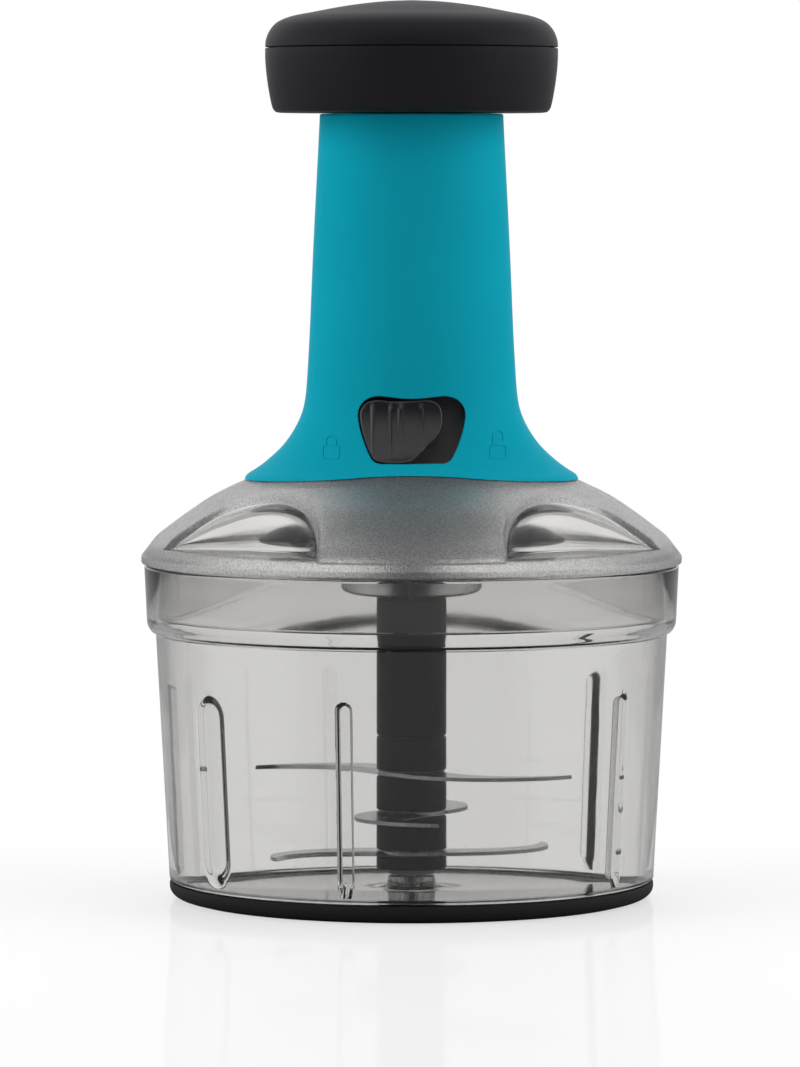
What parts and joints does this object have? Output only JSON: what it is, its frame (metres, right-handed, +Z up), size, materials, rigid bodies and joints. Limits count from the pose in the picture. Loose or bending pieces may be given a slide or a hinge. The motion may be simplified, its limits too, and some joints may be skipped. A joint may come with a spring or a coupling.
{
  "type": "plunger food chopper",
  "caption": "Hand-pump food chopper: clear round bowl with a stack of blades under a frosted lid, a tapered handle housing with a slide lock and a wide palm knob on top.",
  "frame": {"origin": "centre of the underside of the rubber base, on the surface that the chopper stands on", "axes": "+Z up along the plunger's axis, -Y towards the lock button, +X to the right seen from the front"},
  "size_m": [0.15, 0.15, 0.249],
  "materials": {
    "clear": "clear polished plastic",
    "frosted": "frosted grainy translucent plastic",
    "collar": "clear plastic",
    "teal": "satin moulded plastic",
    "knob": "satin moulded plastic",
    "black": "satin moulded plastic",
    "lock": "satin moulded plastic, ribbed",
    "rubber": "matte soft rubber",
    "white": "natural bearing plastic",
    "steel": "plain steel",
    "blade": "polished stainless steel",
    "screws": "zinc plated"
  },
  "bodies": {
    "bowl_body": {"bowl": "clear", "non_slip_base": "rubber", "pivot_pin": "steel"},
    "washer_body": {"thrust_washer": "white"},
    "blade_unit": {"blade_end_cap": "black", "blade_shaft": "steel", "blade_column": "black", "blade_1": "blade", "blade_2": "blade", "blade_3": "blade", "blade_spacer_1": "black", "blade_spacer_2": "black", "blade_spacer_3": "black"},
    "lid_body": {"lid": "frosted", "drive_cover": "black", "splash_collar": "collar", "bearing_block": "black", "drive_washer": "steel", "spring_seat": "black", "housing": "teal", "neck_guide": "black", "lock_tray": "lock", "housing_screw_1": "screws", "housing_screw_2": "screws", "housing_screw_3": "screws", "housing_screw_4": "screws"},
    "lock_body": {"lock_button": "lock", "lock_latch": "steel", "lock_screw": "screws"},
    "handle": {"knob_base": "knob", "knob_cap": "knob", "press_sleeve": "black", "drive_nut": "white", "return_spring": "steel", "knob_screw_1": "screws", "knob_screw_2": "screws", "knob_screw_3": "screws"},
    "drive": {"drive_screw": "steel", "drive_socket": "black", "drive_pin": "steel"}
  },
  "joints": [
    {"name": "lid_lift", "type": "slide", "parent": "bowl_body", "child": "lid_body", "axis": [0, 0, 1], "range_m": [0, 0.2]},
    {"name": "handle_press", "type": "slide", "parent": "lid_body", "child": "handle", "axis": [0, 0, 1], "range_m": [0, 0.055], "deforming": ["return_spring"]},
    {"name": "drive_spin", "type": "hinge", "parent": "lid_body", "child": "drive", "pos_m": [0, 0, 0.1232], "axis": [0, 0, 1], "range_deg": [-661, 0]},
    {"name": "lock_slide", "type": "slide", "parent": "lid_body", "child": "lock_body", "axis": [1, 0, 0], "range_m": [0, 0.0055]},
    {"name": "blade_spin", "type": "hinge", "parent": "bowl_body", "child": "washer_body", "pos_m": [0, 0, 0.009], "axis": [0, 0, 1], "range_deg": [-661, 0]},
    {"name": "blade_lift", "type": "slide", "parent": "washer_body", "child": "blade_unit", "axis": [0, 0, 1], "range_m": [0, 0.12]}
  ],
  "couplings": [
    {"joint": "drive_spin", "follows": "handle_press", "rad_per_m": -209.44},
    {"joint": "blade_spin", "follows": "handle_press", "rad_per_m": -209.44},
    {"joint": "blade_lift", "follows": "lid_lift", "ratio": 0.6}
  ]
}
